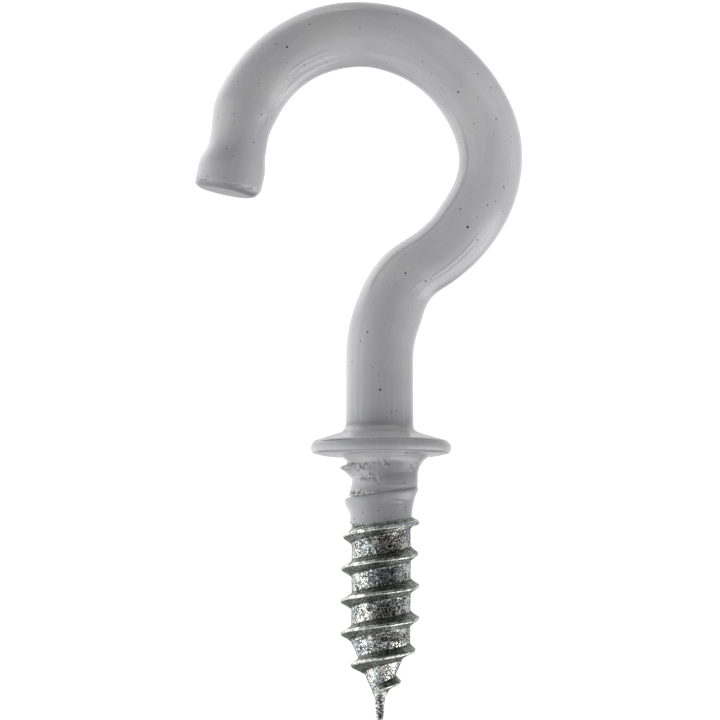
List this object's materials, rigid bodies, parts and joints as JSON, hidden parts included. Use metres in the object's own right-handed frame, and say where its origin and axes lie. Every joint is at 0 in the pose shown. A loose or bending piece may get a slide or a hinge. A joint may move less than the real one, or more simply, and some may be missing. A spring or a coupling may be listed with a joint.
{
  "type": "shouldered screw hook",
  "caption": "Plastic-coated steel screw-in wall hook with a round open loop, a flat collar that seats on the wall and a wood-screw thread.",
  "frame": {"origin": "centre of the collar's flat underside, on the screw's axis, where it meets the wall", "axes": "+Z along the shank, out of the wall and away from the screw's point; the loop lies in the XZ plane with its closed side towards +X and its mouth towards -X"},
  "size_m": [0.0184, 0.0078, 0.0402],
  "materials": {
    "zinc_plated_steel": "bright zinc plating, slightly mottled",
    "plastic_coat": "glossy grey-white dip coating"
  },
  "bodies": {
    "root": {"steel_hook": "zinc_plated_steel", "plastic_coating": "plastic_coat"}
  },
  "joints": []
}
